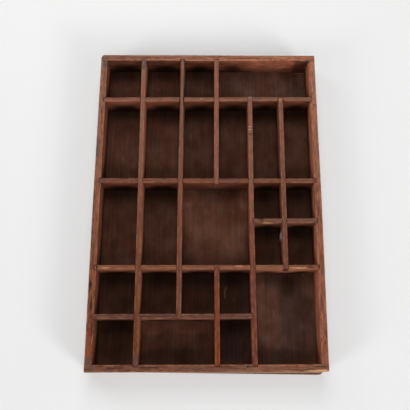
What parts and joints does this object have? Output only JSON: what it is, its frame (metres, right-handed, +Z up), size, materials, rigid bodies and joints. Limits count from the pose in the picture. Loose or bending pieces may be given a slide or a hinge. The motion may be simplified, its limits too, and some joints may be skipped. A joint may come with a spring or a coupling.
{
  "type": "printer's type tray",
  "caption": "Shallow wooden tray with a comb-jointed frame, a thin nailed bottom board and halved dividers that make open compartments of mixed sizes.",
  "frame": {"origin": "middle of the frame's footprint, on the underside of the bottom board, which is the face that the tray rests on", "axes": "+X to the right, +Y towards the rear rail along the tray's length, +Z up, out of the compartments"},
  "size_m": [0.254, 0.3683, 0.032],
  "materials": {
    "rail_wood": "aged, handled, matt with a faint old wax sheen, worn arrises",
    "divider_wood": "aged, thin planed strips, matt, worn top edges",
    "board_wood": "dark old stain, straight open grain front to rear, fine scratches and dust",
    "nail_iron": "drawn iron wire, dull and lightly rusted"
  },
  "bodies": {
    "root": {"bottom_board": "board_wood", "rear_rail": "rail_wood", "front_rail": "rail_wood", "left_rail": "rail_wood", "right_rail": "rail_wood", "long_divider_1": "divider_wood", "long_divider_2": "divider_wood", "long_divider_3_rear": "divider_wood", "long_divider_3_front": "divider_wood", "long_divider_4": "divider_wood", "long_divider_5": "divider_wood", "cross_divider_1": "divider_wood", "cross_divider_2": "divider_wood", "cross_divider_right": "divider_wood", "cross_divider_3": "divider_wood", "cross_divider_4": "divider_wood", "bottom_nails": "nail_iron", "corner_brads": "nail_iron", "divider_brads": "nail_iron"}
  },
  "joints": []
}
